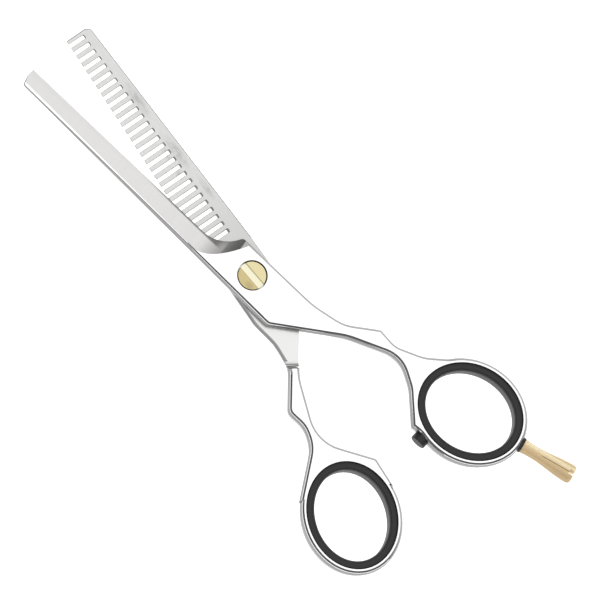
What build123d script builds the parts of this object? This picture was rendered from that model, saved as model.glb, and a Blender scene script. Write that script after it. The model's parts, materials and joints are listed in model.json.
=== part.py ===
"""Hairdresser's thinning shears: two steel halves on a slotted pivot screw.

Units are millimetres. The origin lies on the pivot axis, in the plane that the shears rest on. +X runs
along the closed blades towards the tips and +Z points up from the resting plane. The toothed half is
underneath and lies along +X; the plain half is on top and stands open by REST_OPENING degrees.
"""

from build123d import *
from math import acos, cos, degrees, radians, sin
import os

# ---- overall sizes -------------------------------------------------------------------------------
BLADE_LENGTH = 67.5        # pivot axis to the blade tips
HANDLE_LENGTH = 56.5       # pivot axis to the middle of a finger ring, along the shears
THICKNESS = 4.4            # over both halves, and through either ring
REST_OPENING = 11.0        # angle between the two halves as drawn
SIDE_LEAN = 0.45           # how far the side walls lean in from their widest line to a face
RIDGE_DEPTH = 1.3          # top face to the upright band at the walls' widest line
RIDGE_HEIGHT = 0.1         # that band
FACE_GAP = 0.1             # between the two inner faces

# ---- blades --------------------------------------------------------------------------------------
BACK_OFFSET = 5.75         # pivot axis to the back of either half
EDGE_OFFSET = 0.4          # closed line to the plain cutting edge
TOOTH_TIP_OFFSET = 3.3     # closed line to the end of the first tooth
TOOTH_ROOT_OFFSET = 5.6    # closed line to the teeth's own line, beside the pivot
PLAIN_TIP_BACK = 4.85      # back of the plain blade at its tip
TOOTHED_TIP_BACK = 3.3     # back of the toothed blade at its tip
TIP_BACK_THICKNESS = 1.15  # one blade's back at the tip
TIP_EDGE_THICKNESS = 0.3   # what the grind leaves at the tip of a cutting edge
BACK_STRIP = 0.8           # from a blade's back to its hollow grind
GRIND_START = 13.8         # along X, where the hollow grind has run out to its full depth
GRIND_RADIUS = 20.0        # run-out of the grind towards the pivot
GRIND_CURL = 70.0          # how far that run-out turns, in degrees

# ---- thinning teeth ------------------------------------------------------------------------------
TOOTH_COUNT = 28
TOOTH_PITCH = 2.01
SLOT_WIDTH = 0.93
FIRST_SLOT = 65.8          # middle of the slot nearest the tip, along X
SLOT_ROOT_TIP = -0.93      # bottom of that slot, along Y
SLOT_ROOT_FALL = 0.024     # how the slots deepen towards the pivot, per millimetre
SLOT_CORNER = 0.2
SLOT_OVERRUN = 1.0         # slots past the teeth's line

# ---- handles -------------------------------------------------------------------------------------
SHOULDER_FOOT = (-20.6, 3.35)  # a point on the foot of the toothed half's stop shoulder
SHOULDER_TURN = -34.0      # how the shoulder faces, in degrees from +X
RING_WALL = 1.25           # metal around a ring's bore, at its widest
RING_BLEND = 6.0           # rounding where a ring runs into its shank
FINGER_BORE = (12.5, 10.75)    # half axes of the finger ring's bore
FINGER_OFFSET = -12.5      # middle of the finger ring, across the shears
FINGER_TILT = 13.5         # long axis of the finger ring, in degrees from +X
THUMB_BORE = (12.4, 10.3)
THUMB_OFFSET = 13.2
THUMB_TILT = -18.9

# ---- ring inserts --------------------------------------------------------------------------------
INSERT_WIDTH = 1.95        # from the bore to the finger hole
INSERT_FIT = 0.05          # insert to bore
INSERT_RECESS = 0.1        # insert below either ring face
INSERT_ROUND = 0.7         # rounding of the insert's inner edges
INSERT_OUTER_ROUND = 0.2
GROOVE_DEPTH = 0.2         # retaining groove around each bore
GROOVE_HEIGHT = 1.6
GROOVE_FIT = 0.04

# ---- pivot ---------------------------------------------------------------------------------------
HEAD_RADIUS = 3.25
HEAD_HEIGHT = 1.1
HEAD_RECESS = 0.12         # head below the top face
HEAD_CLEARANCE = 0.2       # head to counterbore
HEAD_CHAMFER = 0.12
HEAD_SLOT_WIDTH = 1.7
HEAD_SLOT_DEPTH = 0.6
HEAD_SLOT_TURN = 5.4       # as the screw stands, in degrees from +X
SHANK_RADIUS = 1.9         # shank and thread, at the thread's outside
THREAD_CLEARANCE = 0.05
SHANK_RECESS = 0.25        # screw end above the resting plane
SHANK_CHAMFER = 0.3
WASHER_THICKNESS = 0.25
WASHER_INSET = 0.2         # washer's edge inside the head's edge
WASHER_LIFT = 0.02         # head above the washer
BUSH_WALL = 0.5
BUSH_CLEARANCE = 0.03      # shank to bush

# ---- closing bumper ------------------------------------------------------------------------------
BUMPER_X = -52.7           # along the plain half
BUMPER_SEAT = -1.1         # the flat that the bumper stands on, along Y
BUMPER_RADIUS = 1.85
BUMPER_HEIGHT = 1.9
BUMPER_ROUND = 0.3
BUMPER_CLEARANCE = 0.05    # head to the spot face that it stands in
BUMPER_STEM_RADIUS = 0.9
STEM_LENGTH = 0.5
STEM_FIT = 0.02

# ---- finger rest ---------------------------------------------------------------------------------
REST_LENGTH = 13.25        # from its washer to its far end
REST_BASE_RADIUS = 1.65
REST_WAIST_RADIUS = 1.5
REST_WAIST = 3.6           # along the rest, from the washer
REST_END_RADIUS = 2.18
REST_WIDEST = 12.2
REST_END_FLAT = 1.4        # radius of the flat end face
REST_SLOT_WIDTH = 1.1
REST_SLOT_DEPTH = 1.4
REST_STUD_RADIUS = 1.1
REST_STUD_REACH = 0.48     # stud past the washer, into the ring
REST_WASHER_RADIUS = 1.8
REST_WASHER_THICKNESS = 0.95
REST_SEAT_WALL = 0.7       # metal between the ring's bore and the washer's spot face
SPOT_CLEARANCE = 0.1       # washer to its spot face
STUD_CLEARANCE = 0.05

# ---- worked-out values ---------------------------------------------------------------------------
MIDDLE = THICKNESS / 2
INNER_TOP = MIDDLE + FACE_GAP / 2      # inner face of the plain half
COUNTERBORE_RADIUS = HEAD_RADIUS + HEAD_CLEARANCE
HEAD_TOP = THICKNESS - HEAD_RECESS
HEAD_UNDERSIDE = HEAD_TOP - HEAD_HEIGHT
WASHER_TOP = HEAD_UNDERSIDE - WASHER_LIFT
COUNTERBORE_FLOOR = WASHER_TOP - WASHER_THICKNESS
BUSH_BORE_RADIUS = SHANK_RADIUS + BUSH_CLEARANCE
BUSH_OUTER_RADIUS = BUSH_BORE_RADIUS + BUSH_WALL
FINGER_CENTRE = (-HANDLE_LENGTH, FINGER_OFFSET)
THUMB_CENTRE = (-HANDLE_LENGTH - 0.5, THUMB_OFFSET)
REST_SEAT = FINGER_BORE[0] + REST_SEAT_WALL     # washer's seat from the finger ring's middle
SPARE = 20.0               # how far a cutting body reaches past the metal


# ---- outlines ------------------------------------------------------------------------------------
def ellipse_face(centre, half_axes, tilt, growth=0.0):
    """Filled ellipse with its long axis turned by tilt degrees and both half axes grown."""
    return Pos(*centre) * Rot(0, 0, tilt) * Ellipse(half_axes[0] + growth, half_axes[1] + growth)


def rounded_face(corners):
    """Face inside a polygon whose corners are given as (x, y, corner radius)."""
    points = [(x, y) for x, y, _ in corners]
    radii = [radius for _, _, radius in corners]
    return make_face(FilletPolyline(*points, radius=radii, close=True))


def shallow_corners(face):
    """Places along a face's rim where two stretches meet at a small angle."""
    edges = face.outer_wire().order_edges()
    places = []
    for before, after in zip(edges[-1:] + edges[:-1], edges):
        bend = degrees(acos(max(-1.0, min(1.0, (before % 1).dot(after % 0)))))
        if 1.0 < bend < 60.0:
            places.append(after @ 0)
    return places


def blended(outline):
    """The outline with its shallow corners rounded, where a ring runs into its shank."""
    for place in shallow_corners(outline.faces()[0]):
        corner = outline.vertices().sort_by_distance(place)[0]
        outline = Sketch() + fillet(corner, RING_BLEND)
    return outline


def plain_outline():
    """Plain half at its widest: blade, shank and finger ring, without the ring's bore."""
    x_ring, y_ring = FINGER_CENTRE
    corners = [
        (BLADE_LENGTH, EDGE_OFFSET, 0),
        (10.1, EDGE_OFFSET - 0.1, 8.2),
        (7.2, -5.1, 1.0),
        (-14.5, -5.3, 20),
        (-22.4, -6.9, 9),
        (-29.3, -12.0, 1.3),
        (x_ring + 22.3, y_ring + 0.9, 5),
        (x_ring + 16.0, y_ring - 1.9, 9),
        (x_ring + 8.2, y_ring - 8.6, 0),
        (x_ring, y_ring, 0),
        (BUMPER_X - 1.2, BUMPER_SEAT, 0),
        (x_ring + 7.2, BUMPER_SEAT + 0.45, 0.9),
        (x_ring + 13.6, y_ring + 5.8, 7),
        (x_ring + 19.8, y_ring + 2.3, 7),
        (-25.0, -4.9, 15),
        (-10.2, BACK_OFFSET + 0.1, 2.5),
        (BLADE_LENGTH - 0.8, PLAIN_TIP_BACK, 0.8),
        (BLADE_LENGTH, EDGE_OFFSET + 2.0, 5),
    ]
    return blended(rounded_face(corners) + ellipse_face(FINGER_CENTRE, FINGER_BORE, FINGER_TILT, RING_WALL))


def toothed_outline():
    """Toothed half at its widest: blade, shank and thumb ring, without slots or bore."""
    x_ring, y_ring = THUMB_CENTRE
    corners = [
        (BLADE_LENGTH - 0.15, TOOTH_TIP_OFFSET, 0),
        (11.0, TOOTH_ROOT_OFFSET, 30),
        (-9.5, BACK_OFFSET + 0.1, 10),
        (-15.5, 4.75, 10),
        (-21.5, 5.2, 6),
        (-29.9, 11.55, 2.5),
        (x_ring + 22.4, y_ring - 2.7, 6),
        (x_ring + 18.0, y_ring - 1.5, 8),
        (x_ring + 9.2, y_ring + 8.1, 0),
        (x_ring, y_ring, 0),
        (x_ring + 0.2, y_ring - 12.0, 0),
        (x_ring + 7.4, y_ring - 12.35, 0.9),
        (x_ring + 18.1, y_ring - 3.6, 9),
        (-24.8, 4.4, 12),
        (-11.3, -BACK_OFFSET, 3),
        (8.0, -BACK_OFFSET + 0.05, 30),
        (BLADE_LENGTH - 1.1, -TOOTHED_TIP_BACK, 0.8),
        (BLADE_LENGTH - 0.15, -TOOTHED_TIP_BACK + 1.2, 0.8),
    ]
    return blended(rounded_face(corners) + ellipse_face(THUMB_CENTRE, THUMB_BORE, THUMB_TILT, RING_WALL))


# ---- what both halves share ----------------------------------------------------------------------
def forged_blank(outline):
    """The outline at full thickness, its side walls leaning in from their widest line to both faces."""
    blank = extrude(outline, amount=THICKNESS)
    for pick, drop in ((-1, RIDGE_DEPTH), (0, THICKNESS - RIDGE_DEPTH - RIDGE_HEIGHT)):
        face = blank.faces().filter_by(Axis.Z).sort_by(Axis.Z)[pick]
        blank = chamfer(face.outer_wire().edges(), length=SIDE_LEAN, length2=drop, reference=face)
    return blank


def turned_over(body):
    """A body drawn for the upper half, turned half round the X axis for the lower half."""
    return Pos(0, 0, THICKNESS) * Rot(180, 0, 0) * body


def other_half_room(foot, facing):
    """What is cut from under the upper half so that the lower one fits, with its stop shoulder."""
    rise = INNER_TOP
    reach = BLADE_LENGTH + SPARE - foot[0]
    with BuildSketch(Plane.XZ) as side_view:
        with BuildLine():
            Polyline((-rise, 0), (-rise, -SPARE), (reach, -SPARE), (reach, rise), (0, rise))
            RadiusArc((0, rise), (-rise, 0), -rise)
        make_face()
    slab = extrude(side_view.sketch, amount=reach, both=True)
    return Pos(foot[0], foot[1], 0) * Rot(0, 0, facing) * slab


def grind_cutter(tip_back, tip_edge):
    """What grinding takes off the upper blade's top: a slanted plane that curls up at the pivot end.

    The plane meets the top face BACK_STRIP inside the back at GRIND_START, and the tip's end BACK_STRIP
    inside its back at the blade's thickness there and over the cutting edge at the edge's thickness.
    """
    root = Vector(GRIND_START, BACK_OFFSET - BACK_STRIP, THICKNESS)
    back = Vector(BLADE_LENGTH, tip_back - BACK_STRIP, INNER_TOP + TIP_BACK_THICKNESS)
    edge = Vector(BLADE_LENGTH, tip_edge, INNER_TOP + TIP_EDGE_THICKNESS)
    upward = (edge - back).cross(root - back).normalized()
    along = (back - root).normalized()
    if upward.Z < 0:
        upward = upward * -1
    forward = (Vector(1, 0, 0) - upward * upward.X).normalized()
    across = forward.cross(upward)
    side = Plane(origin=root, x_dir=forward, z_dir=across)
    curl = radians(GRIND_CURL)
    end = (-GRIND_RADIUS * sin(curl), GRIND_RADIUS * (1 - cos(curl)))
    with BuildSketch(side) as profile:
        with BuildLine():
            Polyline((0, 0), (BLADE_LENGTH + SPARE, 0), (BLADE_LENGTH + SPARE, SPARE), (end[0], SPARE), end)
            RadiusArc((0, 0), end, GRIND_RADIUS)
        make_face()
    return extrude(profile.sketch, amount=SPARE, both=True)


def thinning_cutter(tip_back):
    """What thins the upper blade's back from full thickness down to TIP_BACK_THICKNESS at the tip."""
    tip_top = INNER_TOP + TIP_BACK_THICKNESS
    slope = (THICKNESS - tip_top) / (BLADE_LENGTH - GRIND_START)
    past = BLADE_LENGTH + SPARE
    with BuildSketch(Plane.XZ) as side_view:
        with BuildLine():
            Polyline(
                (GRIND_START, THICKNESS),
                (past, THICKNESS - slope * (past - GRIND_START)),
                (past, THICKNESS + SPARE),
                (GRIND_START, THICKNESS + SPARE),
                close=True,
            )
        make_face()
    return extrude(side_view.sketch, amount=SPARE * 2, both=True)


def ring_bore(centre, half_axes, tilt):
    """Through bore of a ring with its retaining groove at mid height."""
    through = extrude(ellipse_face(centre, half_axes, tilt), amount=THICKNESS)
    groove = extrude(ellipse_face(centre, half_axes, tilt, GROOVE_DEPTH), amount=GROOVE_HEIGHT)
    return through + Pos(0, 0, MIDDLE - GROOVE_HEIGHT / 2) * groove


def ring_insert(centre, half_axes, tilt):
    """Soft ring with rounded edges and a rib that snaps into the bore's groove."""
    height = THICKNESS - 2 * INSERT_RECESS
    outer = ellipse_face(centre, half_axes, tilt, -INSERT_FIT)
    inner = ellipse_face(centre, half_axes, tilt, -INSERT_WIDTH)
    body = Pos(0, 0, INSERT_RECESS) * extrude(outer - inner, amount=height)
    ends = body.faces().filter_by(Axis.Z)
    body = fillet([face.outer_wire().edges()[0] for face in ends], INSERT_OUTER_ROUND)
    ends = body.faces().filter_by(Axis.Z)
    body = fillet([face.inner_wires()[0].edges()[0] for face in ends], INSERT_ROUND)
    rib_height = GROOVE_HEIGHT - 2 * GROOVE_FIT
    rib_outer = ellipse_face(centre, half_axes, tilt, GROOVE_DEPTH - GROOVE_FIT)
    rib = extrude(rib_outer - ellipse_face(centre, half_axes, tilt, -INSERT_WIDTH / 2), amount=rib_height)
    return body + Pos(0, 0, MIDDLE - rib_height / 2) * rib


# ---- the plain half and what it carries ----------------------------------------------------------
def rest_axis(distance):
    """Plane square to the finger rest's axis, at a distance from the finger ring's middle."""
    outward = Vector(-cos(radians(FINGER_TILT)), -sin(radians(FINGER_TILT)), 0)
    origin = Vector(*FINGER_CENTRE, MIDDLE) + outward * distance
    return Plane(origin=origin, x_dir=(0, 0, 1), z_dir=outward)


def bumper_axis(height):
    """Plane square to the bumper's axis, at a height along Y."""
    return Plane(origin=(BUMPER_X, height, MIDDLE), x_dir=(1, 0, 0), z_dir=(0, 1, 0))


def rod(plane, radius, length):
    """Cylinder that starts on a plane and runs along its normal."""
    return extrude(plane * Circle(radius), amount=length)


def plain_blade_half():
    """Upper half: plain blade, counterbored pivot, finger ring with seats for bumper and rest."""
    half = forged_blank(plain_outline())
    half -= other_half_room((SHOULDER_FOOT[0], -SHOULDER_FOOT[1]), -SHOULDER_TURN)
    half -= thinning_cutter(PLAIN_TIP_BACK)
    half -= grind_cutter(PLAIN_TIP_BACK, EDGE_OFFSET)
    half += rod(bumper_axis(BUMPER_SEAT - RING_WALL), BUMPER_RADIUS, RING_WALL)
    half -= rod(bumper_axis(BUMPER_SEAT), BUMPER_RADIUS + BUMPER_CLEARANCE, BUMPER_HEIGHT)
    half -= rod(rest_axis(REST_SEAT), REST_WASHER_RADIUS + SPOT_CLEARANCE, RING_WALL)
    half -= ring_bore(FINGER_CENTRE, FINGER_BORE, FINGER_TILT)
    half -= rod(bumper_axis(BUMPER_SEAT - RING_WALL * 2), BUMPER_STEM_RADIUS, RING_WALL * 2)
    half -= rod(rest_axis(REST_SEAT - RING_WALL * 2), REST_STUD_RADIUS + STUD_CLEARANCE, RING_WALL * 2)
    half -= Pos(0, 0, COUNTERBORE_FLOOR) * rod(Plane.XY, COUNTERBORE_RADIUS, THICKNESS)
    half -= rod(Plane.XY, BUSH_OUTER_RADIUS, THICKNESS)
    return half


def closing_bumper():
    """Buffer between the rings: a rounded head on a stem pressed into the plain half."""
    head = rod(bumper_axis(BUMPER_SEAT), BUMPER_RADIUS, BUMPER_HEIGHT)
    head = fillet(head.faces().sort_by(Axis.Y)[-1].edges(), BUMPER_ROUND)
    stem = rod(bumper_axis(BUMPER_SEAT - STEM_LENGTH), BUMPER_STEM_RADIUS - STEM_FIT, STEM_LENGTH)
    return head + stem


def finger_rest_washer():
    """Flat washer between the finger rest and its ring."""
    washer = rod(rest_axis(REST_SEAT), REST_WASHER_RADIUS, REST_WASHER_THICKNESS)
    return washer - rod(rest_axis(REST_SEAT), REST_STUD_RADIUS + STUD_CLEARANCE, REST_WASHER_THICKNESS)


def finger_rest():
    """Turned rest with a waist, a flared end with a screwdriver slot, and a threaded stud."""
    base = rest_axis(REST_SEAT + REST_WASHER_THICKNESS)
    with BuildSketch(Plane.XZ) as profile:
        with BuildLine():
            Line((0, 0), (REST_BASE_RADIUS, 0))
            Spline(
                (REST_BASE_RADIUS, 0),
                (REST_WAIST_RADIUS, REST_WAIST),
                (REST_END_RADIUS, REST_WIDEST),
                tangents=((-0.1, 1), (0, 1)),
            )
            Spline(
                (REST_END_RADIUS, REST_WIDEST),
                (REST_END_FLAT, REST_LENGTH),
                tangents=((0, 1), (-1, 0.1)),
            )
            Line((REST_END_FLAT, REST_LENGTH), (0, REST_LENGTH))
            Line((0, REST_LENGTH), (0, 0))
        make_face()
    turned = revolve(profile.sketch, axis=Axis.Z)
    slot = Pos(0, 0, REST_LENGTH - REST_SLOT_DEPTH / 2) * Box(
        THICKNESS * 2, REST_SLOT_WIDTH, REST_SLOT_DEPTH
    )
    stud_length = REST_WASHER_THICKNESS + REST_STUD_REACH
    stud = Pos(0, 0, -stud_length) * rod(Plane.XY, REST_STUD_RADIUS, stud_length)
    return base.location * (turned - slot + stud)


def pivot_washer():
    """Thin washer under the screw's head."""
    ring = Circle(HEAD_RADIUS - WASHER_INSET) - Circle(BUSH_BORE_RADIUS)
    return Pos(0, 0, COUNTERBORE_FLOOR) * extrude(ring, amount=WASHER_THICKNESS)


def pivot_bush():
    """Sleeve pressed into the plain half, in which the screw's shank turns."""
    ring = Circle(BUSH_OUTER_RADIUS) - Circle(BUSH_BORE_RADIUS)
    return Pos(0, 0, INNER_TOP) * extrude(ring, amount=COUNTERBORE_FLOOR - INNER_TOP)


# ---- the toothed half and what it carries --------------------------------------------------------
def tooth_slots():
    """All the slots between the thinning teeth, square to the closed blades and open to the edge."""
    slots = Part()
    open_end = TOOTH_ROOT_OFFSET + SLOT_OVERRUN
    for number in range(TOOTH_COUNT):
        x = FIRST_SLOT - number * TOOTH_PITCH
        root = SLOT_ROOT_TIP - SLOT_ROOT_FALL * (FIRST_SLOT - x)
        length = open_end - root
        cut = RectangleRounded(SLOT_WIDTH, length, SLOT_CORNER)
        slots += Pos(x, root + length / 2, 0) * extrude(cut, amount=THICKNESS)
    return slots


def toothed_blade_half():
    """Lower half: toothed blade, tapped pivot hole and thumb ring."""
    half = forged_blank(toothed_outline())
    half -= turned_over(other_half_room((SHOULDER_FOOT[0], -SHOULDER_FOOT[1]), -SHOULDER_TURN))
    half -= turned_over(thinning_cutter(TOOTHED_TIP_BACK))
    half -= turned_over(grind_cutter(TOOTHED_TIP_BACK, -TOOTH_TIP_OFFSET))
    half -= tooth_slots()
    half -= ring_bore(THUMB_CENTRE, THUMB_BORE, THUMB_TILT)
    half -= rod(Plane.XY, SHANK_RADIUS + THREAD_CLEARANCE, THICKNESS)
    return half


def pivot_screw():
    """Screw with a slotted head; its thread holds in the toothed half."""
    head = Pos(0, 0, HEAD_UNDERSIDE) * rod(Plane.XY, HEAD_RADIUS, HEAD_HEIGHT)
    head = chamfer(head.faces().sort_by(Axis.Z)[-1].edges(), HEAD_CHAMFER)
    shank = Pos(0, 0, SHANK_RECESS) * rod(Plane.XY, SHANK_RADIUS, HEAD_UNDERSIDE - SHANK_RECESS)
    shank = chamfer(shank.faces().sort_by(Axis.Z)[0].edges(), SHANK_CHAMFER)
    slot = Pos(0, 0, HEAD_TOP - HEAD_SLOT_DEPTH / 2) * Box(
        HEAD_RADIUS * 3, HEAD_SLOT_WIDTH, HEAD_SLOT_DEPTH
    )
    return Rot(0, 0, HEAD_SLOT_TURN) * (head + shank - slot)


# ---- assembly ------------------------------------------------------------------------------------
def all_nodes():
    """Every piece in place, by its node's name."""
    opened = Rot(0, 0, REST_OPENING)
    return {
        "toothed_blade_half": toothed_blade_half(),
        "thumb_ring_insert": ring_insert(THUMB_CENTRE, THUMB_BORE, THUMB_TILT),
        "pivot_screw": pivot_screw(),
        "plain_blade_half": opened * plain_blade_half(),
        "pivot_washer": opened * pivot_washer(),
        "pivot_bush": opened * pivot_bush(),
        "finger_ring_insert": opened * ring_insert(FINGER_CENTRE, FINGER_BORE, FINGER_TILT),
        "closing_bumper": opened * closing_bumper(),
        "finger_rest_washer": opened * finger_rest_washer(),
        "finger_rest": opened * finger_rest(),
    }


if __name__ == "__main__":
    os.makedirs("parts", exist_ok=True)
    for node_name, node in all_nodes().items():
        export_step(node, f"parts/{node_name}.step")
        print(node_name, len(node.solids()), round(node.volume, 2))
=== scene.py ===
"""Thinning shears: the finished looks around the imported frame.

Every piece is in metres, in the frame's own axes: +X along the toothed half towards its tip, +Z up.
"""

import json
import math

import bpy
from mathutils import Matrix, Vector

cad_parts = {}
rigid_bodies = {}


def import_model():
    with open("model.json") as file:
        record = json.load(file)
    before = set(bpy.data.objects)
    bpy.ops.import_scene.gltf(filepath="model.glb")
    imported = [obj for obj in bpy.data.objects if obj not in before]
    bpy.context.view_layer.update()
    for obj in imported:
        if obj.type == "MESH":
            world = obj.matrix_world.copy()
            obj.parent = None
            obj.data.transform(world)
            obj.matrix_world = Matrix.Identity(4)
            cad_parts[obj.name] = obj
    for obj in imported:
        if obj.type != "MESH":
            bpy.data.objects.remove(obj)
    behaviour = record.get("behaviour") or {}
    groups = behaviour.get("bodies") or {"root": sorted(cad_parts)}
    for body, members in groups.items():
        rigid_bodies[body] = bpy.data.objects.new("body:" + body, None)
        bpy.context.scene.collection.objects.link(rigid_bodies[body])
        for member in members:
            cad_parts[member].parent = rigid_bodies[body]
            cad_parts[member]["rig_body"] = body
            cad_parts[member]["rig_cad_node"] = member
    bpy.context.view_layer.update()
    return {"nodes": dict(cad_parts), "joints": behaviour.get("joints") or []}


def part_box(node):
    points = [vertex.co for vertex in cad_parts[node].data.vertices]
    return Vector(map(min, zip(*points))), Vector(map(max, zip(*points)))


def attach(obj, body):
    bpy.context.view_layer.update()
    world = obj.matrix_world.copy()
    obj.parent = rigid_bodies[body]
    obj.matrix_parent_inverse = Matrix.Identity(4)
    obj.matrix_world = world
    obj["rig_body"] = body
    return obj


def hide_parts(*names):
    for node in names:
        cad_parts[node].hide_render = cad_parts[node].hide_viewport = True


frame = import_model()

bl_info = {
    "name": "Thinning Shears",
    "version": (1, 0, 0),
    "blender": (4, 5, 0),
    "location": "View3D > Sidebar > Shears",
    "description": "Builds the steel halves, grips, screw, bumper and finger rest of thinning shears",
    "category": "Object",
}

MM = 0.001
JOINTS = {joint["name"]: joint for joint in frame["joints"]}
OPENING = math.radians(-JOINTS["main_pivot"]["range_deg"][0])
REST_JOINT = JOINTS["rest_turn"]
REST_AXIS = Vector(REST_JOINT["axis"])

# Darker smears on the toothed blade: middle and reach along X and Y, in millimetres.
SMEARS = (
    ((47.5, -2.4), (6.0, 1.5)),
    ((32.5, -2.8), (6.0, 1.6)),
    ((22.0, -3.6), (4.0, 1.0)),
    ((33.5, -0.6), (2.4, 1.2)),
    ((28.0, -0.4), (1.6, 1.2)),
)


# Each grip's middle and half axes in millimetres, and its turn from +X.
FINGER_RING = (
    Matrix.Rotation(OPENING, 3, "Z") @ Vector((-56.5, -12.5, 0.0)),
    (12.45, 10.7),
    OPENING + math.radians(13.5),
)
THUMB_RING = (
    Vector((-57.0, 13.2, 0.0)),
    (12.35, 10.25),
    math.radians(-18.9),
)
CROWN_MIDDLE = 0.92                 # highest line of a grip's top, as a share of its half axes
CROWN_FALL = 12.5                   # how fast the crown falls to either side of that line
GRIP_FOOT = (0.2, 2.0)              # heights between which the painted bounce light at the grip's foot fades out
# colour of the painted bounce light at a grip's foot
FOOT_BOUNCE_LIGHT = (0.36, 0.36, 0.36)

# The plain blade's grind: places along the blade, and across it from the closed line.
RUN_OUT_SHADE = (6.0, 14.5)               # painted shade: the grind darkens from the second place to the first
WEDGE = (5.6, 5.9)                  # where the pale wedge behind the grind begins: a painted reflection
EDGE_LINE_WIDTH = (0.55, 0.95)      # painted shade: dark line along the cutting edge, across
EDGE_LINE_START = (9.0, 11.0)
EDGE_LINE_END = (22.0, 34.0)

# The toothed blade, along it.
NEAR_PIVOT = (4.0, 30.0)            # darker towards the first place
HANDLE_SIDE = (-9.0, -2.0)          # brighter before the first place

# The screw as it stands: its slot's direction, the painted shade on one lobe and the painted reflection on
# the pale floor of its slot.
SLOT_TURN = math.radians(5.4)
SLOT_HEIGHTS = (3.75, 3.85)         # between the slot's floor and the lobes' tops
# painted shade on one lobe of the head: its colour, where it starts across the slot, and a darker spot in
# it
LOBE_SHADE = (0.47, 0.39, 0.20)
LOBE_SHADE_START = (0.4, 1.0)          # across the slot
LOBE_SHADE_SPOT = (-1.3, 2.1)
LOBE_SHADE_REACH = (1.6, 1.1)
# painted reflection: paler brass for the slot's floor
SLOT_SHEEN_BRASS = (0.68, 0.65, 0.48)
BUSH_PLASTIC = (0.6, 0.58, 0.52)

# The finger rest: heights, then places across it from its axis and along it from its seat.
# painted shade: the rest darkens below these heights
REST_SHADE = (2.0, 3.6)
REST_TOP = (3.0, 3.4)
# painted highlight along one side of the rest: its colour, then where it rises and falls across
SHEEN_BRASS = (0.95, 0.85, 0.60)
SHEEN_FROM = (-0.2, 0.7)
SHEEN_TO = (0.8, 1.5)
# painted shade on the rest's other side, across
SHADED_SIDE = (-1.9, -0.9)
LINE_START = (5.2, 6.4)             # fine line behind the slot
LINE_FROM = (-0.24, -0.16)
LINE_TO = (-0.10, -0.02)


# ---- sizes and colours a user would change ---------------------------------------------------------
def length(name, description, default_mm, low=0.0):
    """A length property, given in millimetres and kept in metres."""
    return bpy.props.FloatProperty(
        name=name, description=description, default=default_mm * MM, min=low, subtype="DISTANCE",
        unit="LENGTH", precision=5,
    )


def colour(name, description, default):
    """A colour property."""
    return bpy.props.FloatVectorProperty(
        name=name, description=description, default=default, size=3, min=0.0, max=1.0, subtype="COLOR",
    )


def share(name, description, default, high=1.0):
    """A plain number from nothing to a limit."""
    return bpy.props.FloatProperty(
        name=name, description=description, default=default, min=0.0, max=high, subtype="FACTOR",
    )


class ShearsSizes(bpy.types.PropertyGroup):
    """Sizes of the finishing work on the pieces."""

    rim_chamfer: length("Rim chamfer", "Chamfer round the outer faces of both halves", 0.34)
    rim_polish: length("Rim polish", "Polished band between that chamfer and the side wall", 0.07)
    ride_chamfer: length("Ride chamfer", "Chamfer beside the lower half's ride face", 0.70)
    back_chamfer: length("Back chamfer", "Chamfer along the toothed blade's back and tip", 0.16)
    edge_break: length("Edge break", "Small chamfer left on every other steel edge", 0.06)
    screw_break: length("Screw edge break", "Rounding of the screw head's edges", 0.07)
    rest_break: length("Rest edge break", "Rounding of the finger rest's edges", 0.06)


class ShearsFinish(bpy.types.PropertyGroup):
    """Colours of the finishes."""

    polished: colour("Polished steel", "Mirror finish of the handles", (0.80, 0.80, 0.80))
    # painted shade: the side walls get a darker steel than the faces; their lines and roughness are the
    # finish
    wall: colour("Side walls", "Duller finish of the side walls", (0.235, 0.235, 0.235))
    # painted shade: the rim chamfers get a darker steel than the faces
    rim: colour("Rim", "Chamfer round the outer faces", (0.28, 0.28, 0.28))
    # painted shade: the broken edges get a near-black steel, drawn as a dark line
    line: colour("Broken edges", "Dark line that the broken edges make", (0.09, 0.09, 0.09))
    ground: colour("Ground steel", "Satin finish of the plain blade's grind", (0.56, 0.555, 0.545))
    toothed: colour("Toothed blade", "Satin finish of the toothed blade", (0.56, 0.56, 0.55))
    brass: colour("Screw brass", "Colour of the pivot screw", (0.60, 0.53, 0.31))
    rest: colour("Rest brass", "Colour of the finger rest", (0.60, 0.46, 0.27))
    rubber: colour("Rubber", "Colour of the grips and the bumper", (0.010, 0.010, 0.010))


class ShearsStage(bpy.types.PropertyGroup):
    """Floor, light and camera."""

    floor_size: length("Floor size", "Width of the floor", 6000.0)
    sky: share("Light tent", "Brightness of the white tent overhead", 1.4, 5.0)
    horizon: share("Surroundings", "Brightness of the dark band between tent and walls", 0.30, 5.0)
    walls: share("Walls", "Brightness of the walls at eye level", 1.7, 5.0)
    floor_grey: share("Floor colour", "How light the floor's own colour is", 0.35)
    floor_glow: share("Floor glow", "Light that comes through the floor", 1.2, 5.0)
    lens: bpy.props.FloatProperty(
        name="Lens", description="Focal length of the long lens", default=1000.0, min=50.0, max=1500.0,
        subtype="DISTANCE_CAMERA",
    )
    lean: bpy.props.FloatProperty(
        name="Camera lean", description="Camera's lean from straight above", default=math.radians(15.0),
        subtype="ANGLE", unit="ROTATION",
    )
    lean_towards: bpy.props.FloatProperty(
        name="Lean direction", description="Direction that the camera leans to, from +X",
        default=math.radians(99.76), subtype="ANGLE", unit="ROTATION",
    )
    roll: bpy.props.FloatProperty(
        name="Picture turn", description="Direction of the picture's right side, from +X",
        default=math.radians(-125.0), subtype="ANGLE", unit="ROTATION",
    )
    field: length("Field", "Width that the picture shows at the shears", 134.64)
    aim: bpy.props.FloatVectorProperty(
        name="Aim", description="Middle of the picture", default=(-0.01063, -0.00568, 0.0045), size=3,
        subtype="TRANSLATION", unit="LENGTH",
    )


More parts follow.
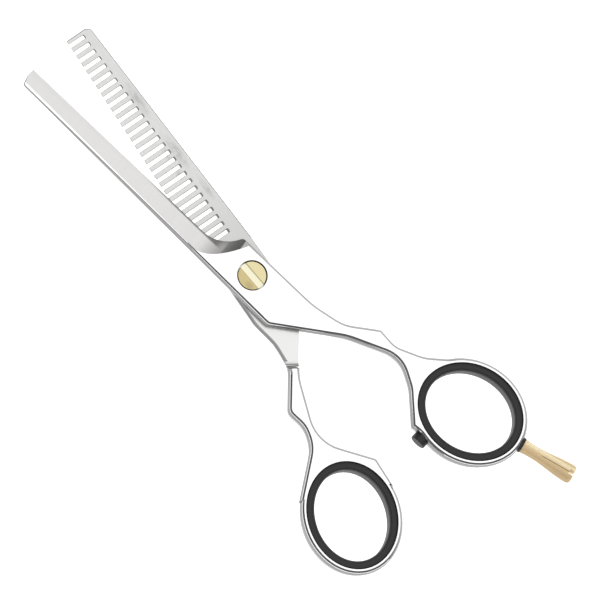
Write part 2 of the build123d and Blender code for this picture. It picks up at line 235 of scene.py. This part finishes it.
# ---- shader writing --------------------------------------------------------------------------------
class Value:
    """A shader value; Python's own operators on it add Math nodes."""

    def __init__(self, finish, socket):
        self.finish = finish
        self.socket = socket

    def _math(self, operation, *values):
        inputs = {number: value for number, value in enumerate(values)}
        return self.finish.add("ShaderNodeMath", {"operation": operation}, inputs)[0]

    def __add__(self, other):
        return self._math("ADD", self, other)

    def __radd__(self, other):
        return self._math("ADD", other, self)

    def __sub__(self, other):
        return self._math("SUBTRACT", self, other)

    def __rsub__(self, other):
        return self._math("SUBTRACT", other, self)

    def __mul__(self, other):
        return self._math("MULTIPLY", self, other)

    def __rmul__(self, other):
        return self._math("MULTIPLY", other, self)

    def __truediv__(self, other):
        return self._math("DIVIDE", self, other)

    def __pow__(self, other):
        return self._math("POWER", self, other)

    def over(self, low, high):
        """Nought below low, one above high, and smooth between."""
        settings = {"interpolation_type": "SMOOTHSTEP"}
        return self.finish.add("ShaderNodeMapRange", settings, {"Value": self, 1: low, 2: high})[0]


class Outputs:
    """A node's outputs by place or name, each as a Value."""

    def __init__(self, finish, node):
        self.finish = finish
        self.node = node

    def __getitem__(self, key):
        return Value(self.finish, self.node.outputs[key])


class Finish:
    """A node material (or a world) under construction."""

    def __init__(self, name, owner=None):
        self.owner = owner or bpy.data.materials.new(name)
        self.owner.use_nodes = True
        self.tree = self.owner.node_tree
        self.tree.nodes.clear()

    def add(self, kind, settings=None, inputs=None):
        """Adds a node: its settings first, then its sockets' values or links."""
        node = self.tree.nodes.new(kind)
        for key, value in (settings or {}).items():
            setattr(node, key, value)
        for key, value in (inputs or {}).items():
            socket = node.inputs[key]
            if isinstance(value, Value):
                self.tree.links.new(value.socket, socket)
            else:
                socket.default_value = value
        return Outputs(self, node)

    def place(self, turn=0.0, stretch=(1.0, 1.0, 1.0)):
        """Place on the piece in millimetres, turned back about Z and stretched along each axis."""
        where = self.add("ShaderNodeTexCoord")["Object"]
        scale = tuple(factor / MM for factor in stretch)
        inputs = {"Vector": where, "Rotation": (0, 0, -turn)}
        turned = self.add("ShaderNodeMapping", {"vector_type": "POINT"}, inputs)[0]
        return self.add("ShaderNodeVectorMath", {"operation": "MULTIPLY"}, {0: turned, 1: scale})[0]

    def axes(self, vector):
        """The three parts of a vector."""
        parts = self.add("ShaderNodeSeparateXYZ", None, {0: vector})
        return parts[0], parts[1], parts[2]

    def noise(self, vector, scale, detail=2.0, roughness=0.5):
        """Noise from nought to one."""
        inputs = {"Vector": vector, "Scale": scale, "Detail": detail, "Roughness": roughness}
        return self.add("ShaderNodeTexNoise", None, inputs)["Fac"]

    def mix(self, mask, first, second):
        """One colour where mask is nought, the other where it is one."""
        inputs = {0: mask, 6: self.rgba(first), 7: self.rgba(second)}
        return self.add("ShaderNodeMix", {"data_type": "RGBA"}, inputs)[2]

    def rgba(self, value):
        """A colour as a socket takes it."""
        return value if isinstance(value, Value) else (*value, 1.0)

    def spot(self, place, middle, reach):
        """One at a point of the XY plane, falling smoothly to nought at a reach along X and along Y."""
        x, y, _ = self.axes(place)
        distance = (((x - middle[0]) / reach[0]) ** 2.0 + ((y - middle[1]) / reach[1]) ** 2.0) ** 0.5
        return 1.0 - distance.over(0.2, 1.0)

    def from_point(self, place, point):
        """A place measured from a point."""
        return self.add("ShaderNodeVectorMath", {"operation": "SUBTRACT"}, {0: place, 1: tuple(point)})[0]

    def bump(self, height, distance_mm, strength=1.0):
        """A normal from a height between nought and one."""
        inputs = {"Height": height, "Distance": distance_mm * MM, "Strength": strength}
        return self.add("ShaderNodeBump", None, inputs)[0]

    def surface(self, base, roughness, metallic=0.0, normal=None, coat=0.0, specular=0.5):
        """Ends the material in a Principled shader."""
        inputs = {
            "Base Color": self.rgba(base),
            "Roughness": roughness,
            "Metallic": metallic,
            "Coat Weight": coat,
            "Specular IOR Level": specular,
        }
        if normal is not None:
            inputs["Normal"] = normal
        shader = self.add("ShaderNodeBsdfPrincipled", None, inputs)[0]
        self.add("ShaderNodeOutputMaterial", None, {"Surface": shader})
        return self.owner


def shade(base, factor):
    """A colour made lighter or darker."""
    return tuple(min(1.0, channel * factor) for channel in base)


def polished_steel(base, turn):
    """Mirror polish with faint buffing lines along the piece and a slight haze."""
    finish = Finish("polished_steel")
    lines = finish.noise(finish.place(turn, (0.15, 6.0, 6.0)), 1.0, 3.0, 0.6)
    haze = finish.noise(finish.place(turn), 0.35, 3.0)
    colour_here = finish.mix(haze, shade(base, 0.97), shade(base, 1.03))
    roughness = 0.05 + haze * 0.04 + lines * 0.03
    return finish.surface(colour_here, roughness, 1.0, finish.bump(lines, 0.0006))


def wall_steel(base, turn):
    """Linished side walls: fine lines that run along the wall, duller than the faces, with a darker colour
    that is painted shade.
    """
    finish = Finish("wall_steel")
    place = finish.place(turn)
    _, _, height = finish.axes(place)
    lines = finish.noise(finish.place(turn, (0.05, 0.05, 7.0)), 1.0, 2.0, 0.7)
    patches = finish.noise(place, 0.25, 2.0)
    colour_here = finish.mix(lines.over(0.30, 0.70), shade(base, 0.72), shade(base, 1.25))
    colour_here = finish.mix(patches, colour_here, shade(base, 1.05))
    # painted shade: the wall is darker on its lower part, near the floor
    low_part = 1.0 - height.over(1.8, 2.4)
    colour_here = finish.mix(low_part * 0.4, colour_here, shade(base, 0.85))
    roughness = 0.20 + lines * 0.14
    return finish.surface(colour_here, roughness, 1.0, finish.bump(lines, 0.002))


def rim_steel(name, base, turn):
    """Chamfers: smooth enough to mirror, with lines along the piece, in a darker steel that is painted
    shade.
    """
    finish = Finish(name)
    lines = finish.noise(finish.place(turn, (0.2, 5.0, 5.0)), 1.0, 2.0, 0.6)
    colour_here = finish.mix(lines, shade(base, 0.85), shade(base, 1.15))
    return finish.surface(colour_here, 0.10 + lines * 0.08, 1.0)


def ground_steel(base, turn):
    """Satin hollow grind: short grinding lines square to the blade, painted shade where the grind runs out,
    a painted pale reflection in the wedge behind it and a painted dark line along the cutting edge.
    """
    finish = Finish("ground_steel")
    along, across, _ = finish.axes(finish.place(turn))
    lines = finish.noise(finish.place(turn, (9.0, 0.25, 0.25)), 1.0, 4.0, 0.65)
    broad = finish.noise(finish.place(turn, (0.9, 0.08, 0.08)), 1.0, 2.0)
    colour_here = finish.mix(lines * 0.5 + broad * 0.5, shade(base, 0.95), shade(base, 1.06))
    # painted shade: darker and less metallic towards the grind's run-out
    run_out_shade = 1.0 - along.over(*RUN_OUT_SHADE)
    colour_here = finish.mix(run_out_shade ** 0.8, colour_here, shade(base, 0.32))
    # painted reflection: a pale wedge behind the grind, less metallic and rougher than the rest
    wedge = 1.0 - (along + across * 0.12).over(*WEDGE)
    colour_here = finish.mix(wedge, colour_here, shade(base, 0.80))
    # painted shade: a dark line along the cutting edge
    beside_edge = 1.0 - across.over(*EDGE_LINE_WIDTH)
    edge_line = beside_edge * along.over(*EDGE_LINE_START) * (1.0 - along.over(*EDGE_LINE_END))
    colour_here = finish.mix(edge_line * 0.75, colour_here, shade(base, 0.10))
    roughness = 0.14 + lines * 0.06 + wedge * 0.6
    metallic = 1.0 - run_out_shade * 0.35 - wedge * 0.5
    return finish.surface(colour_here, roughness, metallic, finish.bump(lines, 0.001))


def toothed_steel(base):
    """Satin inner face of the toothed half: speckled, smeared along its back, darker near the pivot."""
    finish = Finish("toothed_steel")
    place = finish.place()
    along, _, _ = finish.axes(place)
    speckle = finish.noise(place, 3.2, 4.0, 0.7)
    lines = finish.noise(finish.place(0.0, (7.0, 0.5, 0.5)), 1.0, 3.0, 0.6)
    streaks = finish.noise(finish.place(0.0, (0.7, 1.6, 1.6)), 1.0, 5.0, 0.7).over(0.30, 0.72)
    colour_here = finish.mix(speckle.over(0.3, 0.7), shade(base, 0.90), shade(base, 1.10))
    colour_here = finish.mix(streaks, shade(base, 0.93), colour_here)
    for middle, reach in SMEARS:
        spot = finish.spot(place, middle, reach) * streaks
        colour_here = finish.mix(spot, colour_here, shade(base, 0.60))
    near_pivot = 1.0 - along.over(*NEAR_PIVOT)
    colour_here = finish.mix(near_pivot, colour_here, shade(base, 0.86))
    handle = 1.0 - along.over(*HANDLE_SIDE)
    colour_here = finish.mix(handle, colour_here, shade(base, 1.14))
    roughness = 0.26 + speckle * 0.12
    return finish.surface(colour_here, roughness, 1.0, finish.bump(speckle * 0.6 + lines * 0.4, 0.0015))


def bore_steel():
    """Dull machined steel inside holes and slots, nearly black: painted shade of those recesses."""
    finish = Finish("bore_steel")
    lines = finish.noise(finish.place(0.0, (1.0, 1.0, 14.0)), 1.0, 2.0)
    colour_here = finish.mix(lines, (0.05, 0.05, 0.05), (0.10, 0.10, 0.10))
    return finish.surface(colour_here, 0.34 + lines * 0.1, 1.0)


def screw_brass(base, turn):
    """Turned brass screw: paler on one lobe, darker with painted shade on the other, and a painted pale
    reflection in the slot.
    """
    finish = Finish("screw_brass")
    place = finish.place(turn)
    _, across, height = finish.axes(place)
    lines = finish.noise(finish.place(turn, (9.0, 0.5, 0.5)), 1.0, 3.0, 0.6)
    patches = finish.noise(place, 0.6, 2.0)
    colour_here = finish.mix(lines * 0.5 + patches * 0.5, shade(base, 0.92), shade(base, 1.06))
    # painted shade: one lobe darker, with a darker spot
    shaded_lobe = across.over(*LOBE_SHADE_START) * height.over(*SLOT_HEIGHTS)
    colour_here = finish.mix(shaded_lobe, colour_here, LOBE_SHADE)
    spot = finish.spot(place, LOBE_SHADE_SPOT, LOBE_SHADE_REACH) * shaded_lobe
    colour_here = finish.mix(spot * 0.8, colour_here, shade(LOBE_SHADE, 0.78))
    # painted reflection: the slot's floor is a paler brass
    in_slot = 1.0 - height.over(*SLOT_HEIGHTS)
    colour_here = finish.mix(in_slot, colour_here, SLOT_SHEEN_BRASS)
    return finish.surface(colour_here, 0.16 + lines * 0.10, 1.0, finish.bump(lines, 0.0015))


def rest_brass(base, turn, seat):
    """Turned brass rest: rings of turning, a painted highlight along one side, painted shade low down and
    on the other side, and a fine line behind its slot.
    """
    finish = Finish("rest_brass")
    place = finish.place(turn)
    _, _, height = finish.axes(place)
    along, across, _ = finish.axes(finish.from_point(place, seat))
    lines = finish.noise(finish.place(turn, (8.0, 0.4, 0.4)), 1.0, 3.0, 0.6)
    patches = finish.noise(place, 0.4, 2.0)
    colour_here = finish.mix(lines * 0.4 + patches * 0.6, shade(base, 0.95), shade(base, 1.04))
    # painted shade: darker low down and on the side away from the highlight
    lower_shade = 1.0 - height.over(*REST_SHADE)
    colour_here = finish.mix(lower_shade * 0.6, colour_here, shade(base, 0.62))
    # painted highlight along one side
    painted_sheen = across.over(*SHEEN_FROM) * (1.0 - across.over(*SHEEN_TO))
    colour_here = finish.mix(painted_sheen * 0.85, colour_here, SHEEN_BRASS)
    side_shade = 1.0 - across.over(*SHADED_SIDE)
    colour_here = finish.mix(side_shade * 0.5, colour_here, shade(base, 0.66))
    line = along.over(*LINE_START) * across.over(*LINE_FROM) * (1.0 - across.over(*LINE_TO))
    colour_here = finish.mix(line * 0.85 * height.over(*REST_TOP), colour_here, shade(base, 0.12))
    return finish.surface(colour_here, 0.55 + lines * 0.08, 1.0, finish.bump(lines, 0.0015))


def soft_rubber(name, base):
    """Moulded rubber: nearly black, with a fine soft grain."""
    finish = Finish(name)
    place = finish.place()
    grain = finish.noise(place, 9.0, 4.0, 0.6)
    patches = finish.noise(place, 0.5, 2.0)
    colour_here = finish.mix(grain * 0.5 + patches * 0.5, shade(base, 0.6), shade(base, 1.5))
    return finish.surface(colour_here, 0.42 + grain * 0.16, 0.0, finish.bump(grain, 0.006), 0.0, 0.35)


def grip_rubber(base, ring):
    """A grip's rubber: crowned along its middle, grained, and lighter at its foot with painted bounce
    light.
    """
    middle, half_axes, tilt = ring
    finish = Finish("grip_rubber")
    place = finish.place(tilt)
    own_middle = Matrix.Rotation(-tilt, 3, "Z") @ middle
    along, across, _ = finish.axes(finish.from_point(place, own_middle))
    _, _, height = finish.axes(place)
    radius = ((along / half_axes[0]) ** 2.0 + (across / half_axes[1]) ** 2.0) ** 0.5
    crown = 1.0 - ((radius - CROWN_MIDDLE) * CROWN_FALL) ** 2.0
    grain = finish.noise(finish.place(), 2.6, 3.0, 0.7)
    colour_here = finish.mix(grain, shade(base, 0.5), shade(base, 1.3))
    # painted bounce light: the grip turns lighter towards its foot
    foot = (1.0 - height.over(*GRIP_FOOT)) ** 2.0
    colour_here = finish.mix(foot * 0.6, colour_here, FOOT_BOUNCE_LIGHT)
    rounded = finish.bump(crown + grain * 0.06, 0.22)
    return finish.surface(colour_here, 0.40 + grain * 0.16, 0.0, rounded, 0.0, 0.4)


# ---- working on meshes -----------------------------------------------------------------------------
def only(piece):
    """Deselects everything but one piece and makes it active."""
    bpy.ops.object.select_all(action="DESELECT")
    piece.select_set(True)
    bpy.context.view_layer.objects.active = piece


def merged_copy(node, name):
    """A copy of a CAD node with its doubles merged and its flat stretches made whole faces."""
    only(frame["nodes"][node])
    bpy.ops.object.duplicate()
    piece = bpy.context.active_object
    bpy.ops.object.parent_clear(type="CLEAR_KEEP_TRANSFORM")
    piece.name = name
    piece.data.name = name
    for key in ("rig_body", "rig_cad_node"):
        if key in piece:
            del piece[key]
    piece.data.materials.clear()
    bpy.ops.object.mode_set(mode="EDIT")
    bpy.ops.mesh.select_mode(type="FACE")
    bpy.ops.mesh.select_all(action="SELECT")
    bpy.ops.mesh.remove_doubles(threshold=0.0005 * MM)
    bpy.ops.mesh.dissolve_limited(angle_limit=math.radians(0.3), use_dissolve_boundaries=False)
    bpy.ops.object.mode_set(mode="OBJECT")
    return piece


def cut_across(piece, turn, along_mm):
    """Cuts a half's faces square to its own X axis, so that a bevel beyond the cut leaves the rest flat."""
    only(piece)
    along = Matrix.Rotation(turn, 3, "Z") @ Vector((1.0, 0.0, 0.0))
    bpy.ops.object.mode_set(mode="EDIT")
    bpy.ops.mesh.select_all(action="SELECT")
    bpy.ops.mesh.bisect(plane_co=along * along_mm * MM, plane_no=along)
    bpy.ops.object.mode_set(mode="OBJECT")


def merge_close(piece, distance):
    """Merges vertices that earlier bevels left almost on top of each other."""
    only(piece)
    bpy.ops.object.mode_set(mode="EDIT")
    bpy.ops.mesh.select_all(action="SELECT")
    bpy.ops.mesh.remove_doubles(threshold=distance)
    bpy.ops.object.mode_set(mode="OBJECT")


def press_flat(piece, low, high):
    """Presses corners that a bevel pushed past the top or bottom face back onto that face."""
    for level, side in ((high, 1.0), (low, -1.0)):
        only(piece)
        mesh = piece.data
        for part in (mesh.polygons, mesh.edges):
            part.foreach_set("select", [False] * len(part))
        past = [(vertex.co.z - level) * side > 0.0 for vertex in mesh.vertices]
        mesh.vertices.foreach_set("select", past)
        if not any(past):
            continue
        bpy.context.tool_settings.mesh_select_mode = (True, False, False)
        bpy.ops.object.mode_set(mode="EDIT")
        bpy.ops.transform.resize(value=(1.0, 1.0, 0.0), center_override=(0.0, 0.0, level))
        bpy.ops.object.mode_set(mode="OBJECT")


def edge_faces(mesh):
    """The faces on each edge, by edge number."""
    numbers = {key: number for number, key in enumerate(mesh.edge_keys)}
    around = [[] for _ in mesh.edges]
    for face in mesh.polygons:
        for key in face.edge_keys:
            around[numbers[key]].append(face)
    return around


def bevel_edges(piece, chosen, width, segments, material=-1):
    """Bevels the edges that a test picks; the test is given an edge and its two faces."""
    only(piece)
    mesh = piece.data
    around = edge_faces(mesh)
    for part in (mesh.vertices, mesh.polygons):
        part.foreach_set("select", [False] * len(part))
    for edge, faces in zip(mesh.edges, around):
        edge.select = len(faces) == 2 and chosen(edge, faces[0], faces[1])
    if not any(edge.select for edge in mesh.edges):
        raise RuntimeError(f"no edge of {piece.name} was picked to be bevelled")
    bpy.context.tool_settings.mesh_select_mode = (False, True, False)
    bpy.ops.object.mode_set(mode="EDIT")
    bpy.ops.mesh.bevel(
        offset=width, segments=segments, profile=0.5, clamp_overlap=False, miter_outer="ARC",
        material=material,
    )
    bpy.ops.object.mode_set(mode="OBJECT")


def angle_between(first, second):
    """Angle between two faces' normals, in degrees."""
    return math.degrees(first.normal.angle(second.normal, 0.0))


def edge_middle(piece, edge):
    """The middle of an edge, in millimetres."""
    return sum((piece.data.vertices[number].co for number in edge.vertices), Vector()) / 2 / MM


def smoothed(piece, degrees=40.0, flat_faces=True):
    """Smooth shading up to an angle, with large faces kept flat where that is asked."""
    only(piece)
    bpy.ops.object.shade_smooth_by_angle(angle=math.radians(degrees))
    if not flat_faces:
        return
    weighted = piece.modifiers.new("flat_faces", "WEIGHTED_NORMAL")
    weighted.mode = "FACE_AREA"
    weighted.keep_sharp = True
    bpy.ops.object.modifier_apply(modifier=weighted.name)


def finish_piece(piece, node, body, materials=()):
    """Gives a piece its materials and its body, and hides the CAD node that it stands for."""
    for material in materials:
        piece.data.materials.append(material)
    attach(piece, body)
    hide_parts(node)
    return piece


# ---- the steel halves ------------------------------------------------------------------------------
POLISHED, WALL, GROUND, INNER, BORE, RIM, LINE = range(7)

# Heights, then places along a half from its pivot, in millimetres.
UPPER_INNER = 2.25      # the plain half's inner face
LOWER_INNER = 2.15      # the toothed half's inner face
PIVOT_REACH = 4.0       # holes and counterbore lie nearer to the pivot than this
SLOTS_START = 8.0       # the teeth's slots lie beyond this
GRIND_END = 2.0         # the grind lies beyond this
SHOULDER = -24.0        # the inner face ends before this, at the stop shoulder
RIDE_REACH = (-23.0, 2.0)
BACK_START = 4.0        # the toothed blade's back chamfer lies beyond this
STRIP_CUT = 15.5        # just past the end of the top face's rim

# Angles and the Z part of a face's normal.
LEVEL = 0.9995          # a face flatter than this is one of the outer faces
STEEP = 0.5             # a face steeper than this is a wall
UPRIGHT = 0.01          # the slots' and bores' walls are as upright as this
SHARP_EDGE = 42.0       # steel edges sharper than this are broken
SCREW_EDGE = 60.0
REST_EDGE = 50.0
HALF_SMOOTH = 15.0      # shaded smooth up to this angle
GRIP_SMOOTH = 50.0
SCREW_SMOOTH = 35.0


def paint_half(piece, turn, upper, inner_level):
    """Sorts a half's faces into finishes by where they face and lie, in the half's own axes."""
    back = Matrix.Rotation(-turn, 3, "Z")
    for face in piece.data.polygons:
        normal = back @ face.normal
        place = (back @ face.center) / MM
        outward = normal.z if upper else -normal.z
        if abs(normal.z) < STEEP:
            near_pivot = math.hypot(place.x, place.y) < PIVOT_REACH
            in_slot = not upper and place.x > SLOTS_START and abs(normal.z) < UPRIGHT
            # painted shade: hole and slot walls get the nearly black bore steel, other walls the darker
            # wall steel
            face.material_index = BORE if near_pivot or in_slot else WALL
        elif outward > LEVEL:
            face.material_index = POLISHED
        elif outward > 0.0 and place.x > GRIND_END:
            face.material_index = GROUND
        elif abs(place.z - inner_level) < 0.2 and place.x > SHOULDER:
            face.material_index = INNER
        else:
            face.material_index = POLISHED


class SHEARS_OT_steel_halves(bpy.types.Operator):
    """Shapes and finishes both steel halves"""

    bl_idname = "shears.steel_halves"
    bl_label = "Steel Halves"

    def execute(self, context):
        sizes = context.scene.shears_sizes
        looks = context.scene.shears_finish
        bore = bore_steel()
        for node, name, turn, upper, body, slot in (
            ("plain_blade_half", "plain_half", OPENING, True, "plain_half", "plain_steel"),
            ("toothed_blade_half", "toothed_half", 0.0, False, "toothed_half", "toothed_steel"),
        ):
            low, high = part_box(node)
            piece = merged_copy(node, name)
            materials = [
                polished_steel(looks.polished, turn),
                # the wall steel's darker colour is painted shade
                wall_steel(looks.wall, turn),
                ground_steel(looks.ground, turn),
                toothed_steel(looks.toothed),
                # the bore steel's near-black colour is painted shade
                bore,
                # the rim steel's darker colour is painted shade
                rim_steel("rim_steel", looks.rim, turn),
                # the broken edges' near-black colour is painted shade
                rim_steel("broken_edge", looks.line, turn),
            ]
            for material in materials:
                piece.data.materials.append(material)
            inner_level = UPPER_INNER if upper else LOWER_INNER
            cut_across(piece, turn, STRIP_CUT)
            paint_half(piece, turn, upper, inner_level)
            self.chamfer_rim(piece, sizes.rim_chamfer, low.z, high.z)
            self.polish_rim(piece, sizes.rim_polish)
            if not upper:
                self.chamfer_ride(piece, sizes.ride_chamfer, inner_level)
                self.chamfer_back(piece, sizes.back_chamfer, inner_level)
            self.break_edges(piece, sizes.edge_break)
            press_flat(piece, low.z, high.z)
            smoothed(piece, HALF_SMOOTH, flat_faces=False)
            finish_piece(piece, node, body)
        return {"FINISHED"}

    def chamfer_rim(self, piece, width, low, high):
        """Chamfers the outline of the two outer faces."""
        def outline(edge, one, other):
            flat, wall = sorted((one, other), key=lambda face: -abs(face.normal.z))
            if abs(flat.normal.z) < LEVEL or not 0.1 < abs(wall.normal.z) < 0.45:
                return False
            level = sum(piece.data.vertices[number].co.z for number in edge.vertices) / 2
            return min(abs(level - low), abs(level - high)) < 0.01 * MM
        bevel_edges(piece, outline, width, 1, RIM)

    def polish_rim(self, piece, width):
        """Leaves a polished band where the chamfer meets the side wall."""
        def lower_edge(edge, one, other):
            wall = one if one.material_index == WALL else other
            return {one.material_index, other.material_index} == {RIM, WALL} and wall.normal.y > -0.25
        bevel_edges(piece, lower_edge, width, 1, POLISHED)

    def chamfer_ride(self, piece, width, inner_level):
        """Chamfers the side of the ride face between the pivot and the stop shoulder."""
        def ride_edge(edge, one, other):
            middle = edge_middle(piece, edge)
            kinds = {one.material_index, other.material_index}
            wall = one if one.material_index == WALL else other
            level = abs(middle.z - inner_level) < 0.02
            beside_ride = wall.normal.y > 0.3 and RIDE_REACH[0] < middle.x < RIDE_REACH[1]
            return kinds == {INNER, WALL} and level and beside_ride
        bevel_edges(piece, ride_edge, width, 2, WALL)

    def chamfer_back(self, piece, width, inner_level):
        """Chamfers the toothed blade's back and tip beside its inner face."""
        def back_edge(edge, one, other):
            middle = edge_middle(piece, edge)
            kinds = {one.material_index, other.material_index}
            wall = one if one.material_index == WALL else other
            level = abs(middle.z - inner_level) < 0.02
            beside_back = wall.normal.y < 0.3 and middle.x > BACK_START
            return kinds == {INNER, WALL} and level and beside_back
        bevel_edges(piece, back_edge, width, 1, RIM)

    def break_edges(self, piece, width):
        """Takes the sharpness off every edge that is still sharp."""
        merge_close(piece, width / 3)

        def sharp(edge, one, other):
            return angle_between(one, other) > SHARP_EDGE
        # the breaks take the near-black steel: a painted dark line along each edge
        bevel_edges(piece, sharp, width, 1, LINE)


# ---- grips, screw, bumper and rest -----------------------------------------------------------------
class SHEARS_OT_ring_inserts(bpy.types.Operator):
    """Finishes the soft rings inside both finger rings"""

    bl_idname = "shears.ring_inserts"
    bl_label = "Ring Inserts"

    def execute(self, context):
        for node, name, body, ring in (
            ("finger_ring_insert", "finger_ring_grip", "plain_half", FINGER_RING),
            ("thumb_ring_insert", "thumb_ring_grip", "toothed_half", THUMB_RING),
        ):
            piece = merged_copy(node, name)
            smoothed(piece, GRIP_SMOOTH)
            rubber = grip_rubber(context.scene.shears_finish.rubber, ring)
            finish_piece(piece, node, body, [rubber])
        return {"FINISHED"}


class SHEARS_OT_pivot(bpy.types.Operator):
    """Finishes the pivot screw with its washer and bush"""

    bl_idname = "shears.pivot"
    bl_label = "Pivot"

    def execute(self, context):
        sizes = context.scene.shears_sizes
        looks = context.scene.shears_finish
        screw = merged_copy("pivot_screw", "slotted_pivot_screw")
        bevel_edges(
            screw, lambda edge, one, other: angle_between(one, other) > SCREW_EDGE, sizes.screw_break, 2
        )
        smoothed(screw, SCREW_SMOOTH)
        brass = screw_brass(looks.brass, SLOT_TURN)
        finish_piece(screw, "pivot_screw", "pivot_screw", [brass])
        for node, material in (
            ("pivot_washer", bore_steel()),
            ("pivot_bush", soft_rubber("bush_plastic", BUSH_PLASTIC)),
        ):
            frame["nodes"][node].data.materials.clear()
            frame["nodes"][node].data.materials.append(material)
        return {"FINISHED"}


class SHEARS_OT_bumper(bpy.types.Operator):
    """Finishes the closing bumper"""

    bl_idname = "shears.bumper"
    bl_label = "Bumper"

    def execute(self, context):
        piece = merged_copy("closing_bumper", "rubber_bumper")
        smoothed(piece)
        rubber = soft_rubber("bumper_rubber", context.scene.shears_finish.rubber)
        finish_piece(piece, "closing_bumper", "plain_half", [rubber])
        return {"FINISHED"}


class SHEARS_OT_finger_rest(bpy.types.Operator):
    """Finishes the finger rest and its washer"""

    bl_idname = "shears.finger_rest"
    bl_label = "Finger Rest"

    def execute(self, context):
        sizes = context.scene.shears_sizes
        looks = context.scene.shears_finish
        rest = merged_copy("finger_rest", "brass_finger_rest")
        bevel_edges(
            rest, lambda edge, one, other: angle_between(one, other) > REST_EDGE, sizes.rest_break, 2
        )
        smoothed(rest)
        turn = math.atan2(REST_AXIS.y, REST_AXIS.x)
        seat = Matrix.Rotation(-turn, 3, "Z") @ Vector(REST_JOINT["pos_m"]) / MM
        brass = rest_brass(looks.rest, turn, seat)
        finish_piece(rest, "finger_rest", "finger_rest", [brass])
        washer = merged_copy("finger_rest_washer", "rest_washer")
        smoothed(washer)
        rubber = soft_rubber("washer_rubber", looks.rubber)
        finish_piece(washer, "finger_rest_washer", "finger_rest_washer", [rubber])
        return {"FINISHED"}


# ---- stage -----------------------------------------------------------------------------------------
FLOOR_GAP = 0.02            # floor under the shears, in millimetres
TENT_EDGE = (0.54, 0.76)    # upward part of the directions where the tent begins and is full
WALL_TOP = (0.12, 0.32)     # and where the walls begin to fade and end


class SHEARS_OT_stage(bpy.types.Operator):
    """Sets the pale floor, the light tent and the camera"""

    bl_idname = "shears.stage"
    bl_label = "Stage"

    def execute(self, context):
        stage = context.scene.shears_stage
        self.floor(stage)
        self.tent(context.scene, stage)
        self.camera(context.scene, stage)
        context.scene.view_settings.view_transform = "Standard"
        return {"FINISHED"}

    def floor(self, stage):
        """A large pale plane just under the shears, lit a little from below."""
        bpy.ops.object.select_all(action="DESELECT")
        bpy.ops.mesh.primitive_plane_add(size=stage.floor_size, location=(0, 0, -FLOOR_GAP * MM))
        floor = bpy.context.active_object
        floor.name = "floor"
        finish = Finish("pale_floor")
        inputs = {
            "Base Color": finish.rgba([stage.floor_grey] * 3),
            "Roughness": 0.9,
            "Specular IOR Level": 0.0,
            "Emission Color": (1.0, 1.0, 1.0, 1.0),
            "Emission Strength": stage.floor_glow,
        }
        shader = finish.add("ShaderNodeBsdfPrincipled", None, inputs)[0]
        finish.add("ShaderNodeOutputMaterial", None, {"Surface": shader})
        floor.data.materials.append(finish.owner)

    def tent(self, scene, stage):
        """A white tent overhead and grey walls at eye level, with a dark band between them."""
        world = bpy.data.worlds.new("light_tent")
        scene.world = world
        finish = Finish("light_tent", world)
        direction = finish.add("ShaderNodeTexCoord")["Generated"]
        _, _, up = finish.axes(direction)
        tent = up.over(*TENT_EDGE)
        walls = 1.0 - up.over(*WALL_TOP)
        strength = stage.horizon
        strength = strength + tent * (stage.sky - stage.horizon)
        strength = strength + walls * (stage.walls - stage.horizon)
        shader = finish.add("ShaderNodeBackground", None, {"Color": (1, 1, 1, 1), "Strength": strength})[0]
        finish.add("ShaderNodeOutputWorld", None, {"Surface": shader})

    def camera(self, scene, stage):
        """A long lens, leaning from straight above."""
        lens = bpy.data.cameras.new("camera")
        camera = bpy.data.objects.new("camera", lens)
        scene.collection.objects.link(camera)
        lens.lens = stage.lens
        towards = stage.lean_towards
        tilt_axis = Vector((-math.sin(towards), math.cos(towards), 0.0))
        turned = Matrix.Rotation(stage.lean, 4, tilt_axis) @ Matrix.Rotation(stage.roll, 4, "Z")
        distance = stage.field * stage.lens / lens.sensor_width
        back = turned.to_3x3() @ Vector((0.0, 0.0, 1.0))
        camera.matrix_world = Matrix.Translation(Vector(stage.aim) + back * distance) @ turned
        lens.clip_start = distance * 0.1
        lens.clip_end = distance * 10.0
        scene.camera = camera


# ---- panel and registration ------------------------------------------------------------------------
PIECE_OPERATORS = (
    SHEARS_OT_steel_halves,
    SHEARS_OT_ring_inserts,
    SHEARS_OT_pivot,
    SHEARS_OT_bumper,
    SHEARS_OT_finger_rest,
    SHEARS_OT_stage,
)


class SHEARS_PT_panel(bpy.types.Panel):
    """Lists the steps that build the shears"""

    bl_idname = "SHEARS_PT_panel"
    bl_label = "Thinning Shears"
    bl_space_type = "VIEW_3D"
    bl_region_type = "UI"
    bl_category = "Shears"

    def draw(self, context):
        for operator in PIECE_OPERATORS:
            self.layout.operator(operator.bl_idname)


PROPERTY_GROUPS = {
    "shears_sizes": ShearsSizes,
    "shears_finish": ShearsFinish,
    "shears_stage": ShearsStage,
}


def register():
    """Registers the classes and hangs the property groups on the scene."""
    for group in PROPERTY_GROUPS.values():
        bpy.utils.register_class(group)
    for operator in (*PIECE_OPERATORS, SHEARS_PT_panel):
        bpy.utils.register_class(operator)
    for name, group in PROPERTY_GROUPS.items():
        setattr(bpy.types.Scene, name, bpy.props.PointerProperty(type=group))


def unregister():
    """Takes everything back that register added."""
    for name in PROPERTY_GROUPS:
        delattr(bpy.types.Scene, name)
    for operator in reversed((*PIECE_OPERATORS, SHEARS_PT_panel)):
        bpy.utils.unregister_class(operator)
    for group in reversed(PROPERTY_GROUPS.values()):
        bpy.utils.unregister_class(group)


def main():
    """Builds every piece and the stage."""
    register()
    bpy.ops.shears.steel_halves()
    bpy.ops.shears.ring_inserts()
    bpy.ops.shears.pivot()
    bpy.ops.shears.bumper()
    bpy.ops.shears.finger_rest()
    bpy.ops.shears.stage()


if __name__ == "__main__":
    main()
